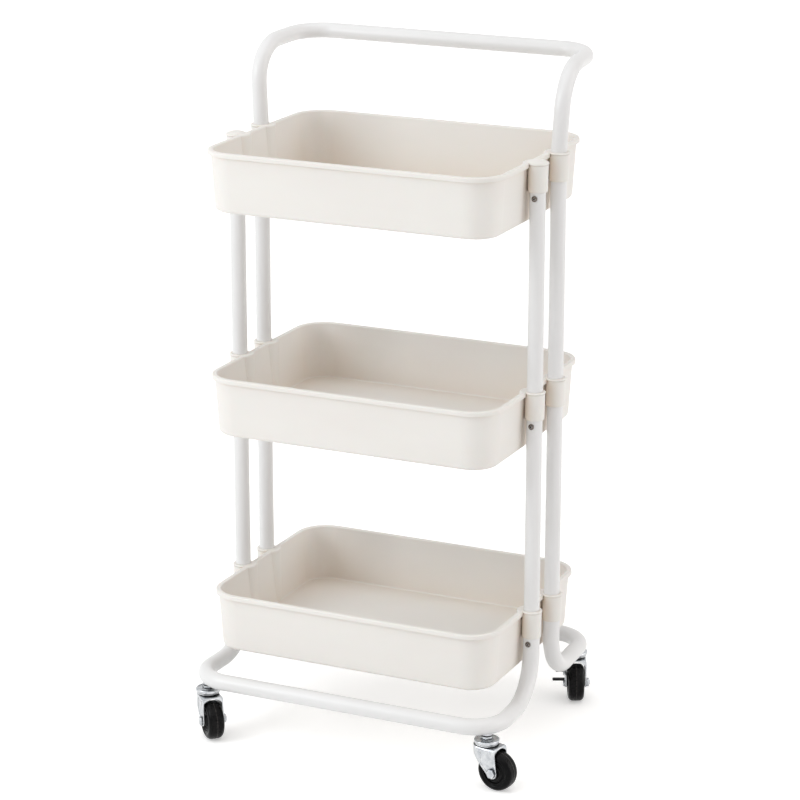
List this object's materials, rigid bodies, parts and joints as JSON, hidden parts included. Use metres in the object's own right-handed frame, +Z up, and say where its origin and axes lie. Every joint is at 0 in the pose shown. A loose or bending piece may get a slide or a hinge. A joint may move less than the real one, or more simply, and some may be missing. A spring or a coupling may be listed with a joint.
{
  "type": "rolling utility cart",
  "caption": "Rolling storage cart with deep trays on a bent tube frame, a push handle at the back, and swivel casters with brakes at the rear",
  "frame": {"origin": "on the floor under the middle of the cart, half way between the front and rear base runs", "axes": "+X to the right end, +Y to the back where the handle bar is, +Z up"},
  "size_m": [0.4486, 0.3782, 0.8494],
  "materials": {
    "frame_paint": "semi-gloss powder coat",
    "tray_plastic": "fine satin moulding",
    "zinc": "bright zinc plate",
    "steel": "plain",
    "tyre_rubber": "satin",
    "wheel_plastic": "moulded",
    "cap_plastic": "moulded"
  },
  "bodies": {
    "cart": {"front_base_tube": "frame_paint", "rear_base_tube": "frame_paint", "handle_tube": "frame_paint", "front_left_lower_post": "frame_paint", "front_right_lower_post": "frame_paint", "rear_left_lower_post": "frame_paint", "rear_right_lower_post": "frame_paint", "front_left_upper_post": "frame_paint", "front_right_upper_post": "frame_paint", "rear_left_upper_post": "frame_paint", "rear_right_upper_post": "frame_paint", "bottom_tray": "tray_plastic", "middle_tray": "tray_plastic", "top_tray": "tray_plastic", "joint_screws": "zinc", "front_left_tube_insert": "steel", "front_left_stem": "zinc", "front_left_lock_nut": "zinc", "front_left_upper_race": "zinc", "front_left_race_balls": "steel", "front_right_tube_insert": "steel", "front_right_stem": "zinc", "front_right_lock_nut": "zinc", "front_right_upper_race": "zinc", "front_right_race_balls": "steel", "rear_left_tube_insert": "steel", "rear_left_stem": "zinc", "rear_left_lock_nut": "zinc", "rear_left_upper_race": "zinc", "rear_left_race_balls": "steel", "rear_right_tube_insert": "steel", "rear_right_stem": "zinc", "rear_right_lock_nut": "zinc", "rear_right_upper_race": "zinc", "rear_right_race_balls": "steel"},
    "front_left_swivel": {"front_left_fork": "zinc", "front_left_axle_bolt": "zinc"},
    "front_left_wheel": {"front_left_wheel_core": "wheel_plastic", "front_left_tyre": "tyre_rubber"},
    "front_right_swivel": {"front_right_fork": "zinc", "front_right_axle_bolt": "zinc"},
    "front_right_wheel": {"front_right_wheel_core": "wheel_plastic", "front_right_tyre": "tyre_rubber"},
    "rear_left_swivel": {"rear_left_fork": "zinc", "rear_left_axle_bolt": "zinc", "rear_left_lever_rivet": "zinc"},
    "rear_left_wheel": {"rear_left_wheel_core": "wheel_plastic", "rear_left_tyre": "tyre_rubber"},
    "rear_left_brake": {"rear_left_brake_lever": "zinc", "rear_left_tab_caps": "cap_plastic"},
    "rear_right_swivel": {"rear_right_fork": "zinc", "rear_right_axle_bolt": "zinc", "rear_right_lever_rivet": "zinc"},
    "rear_right_wheel": {"rear_right_wheel_core": "wheel_plastic", "rear_right_tyre": "tyre_rubber"},
    "rear_right_brake": {"rear_right_brake_lever": "zinc", "rear_right_tab_caps": "cap_plastic"}
  },
  "joints": [
    {"name": "front_left_swivel", "type": "hinge", "parent": "cart", "child": "front_left_swivel", "pos_m": [-0.1887, -0.15367, 0.058], "axis": [0, 0, 1], "continuous": true},
    {"name": "front_left_wheel_spin", "type": "hinge", "parent": "front_left_swivel", "child": "front_left_wheel", "pos_m": [-0.17739, -0.16498, 0.024], "axis": [0.7071, 0.7071, 0], "continuous": true},
    {"name": "front_right_swivel", "type": "hinge", "parent": "cart", "child": "front_right_swivel", "pos_m": [0.1887, -0.15367, 0.058], "axis": [0, 0, 1], "continuous": true},
    {"name": "front_right_wheel_spin", "type": "hinge", "parent": "front_right_swivel", "child": "front_right_wheel", "pos_m": [0.20441, -0.15672, 0.024], "axis": [0.1908, 0.9816, 0], "continuous": true},
    {"name": "rear_left_swivel", "type": "hinge", "parent": "cart", "child": "rear_left_swivel", "pos_m": [-0.17948, 0.15492, 0.058], "axis": [0, 0, 1], "continuous": true},
    {"name": "rear_left_wheel_spin", "type": "hinge", "parent": "rear_left_swivel", "child": "rear_left_wheel", "pos_m": [-0.19519, 0.15798, 0.024], "axis": [-0.1908, -0.9816, 0], "continuous": true},
    {"name": "rear_left_brake_press", "type": "hinge", "parent": "rear_left_swivel", "child": "rear_left_brake", "pos_m": [-0.19519, 0.15798, 0.037], "axis": [0.1908, 0.9816, 0], "range_deg": [0, 5.5]},
    {"name": "rear_right_swivel", "type": "hinge", "parent": "cart", "child": "rear_right_swivel", "pos_m": [0.17948, 0.15492, 0.058], "axis": [0, 0, 1], "continuous": true},
    {"name": "rear_right_wheel_spin", "type": "hinge", "parent": "rear_right_swivel", "child": "rear_right_wheel", "pos_m": [0.18624, 0.14042, 0.024], "axis": [0.9063, 0.4226, 0], "continuous": true},
    {"name": "rear_right_brake_press", "type": "hinge", "parent": "rear_right_swivel", "child": "rear_right_brake", "pos_m": [0.18624, 0.14042, 0.037], "axis": [-0.9063, -0.4226, 0], "range_deg": [0, 5.5]}
  ]
}
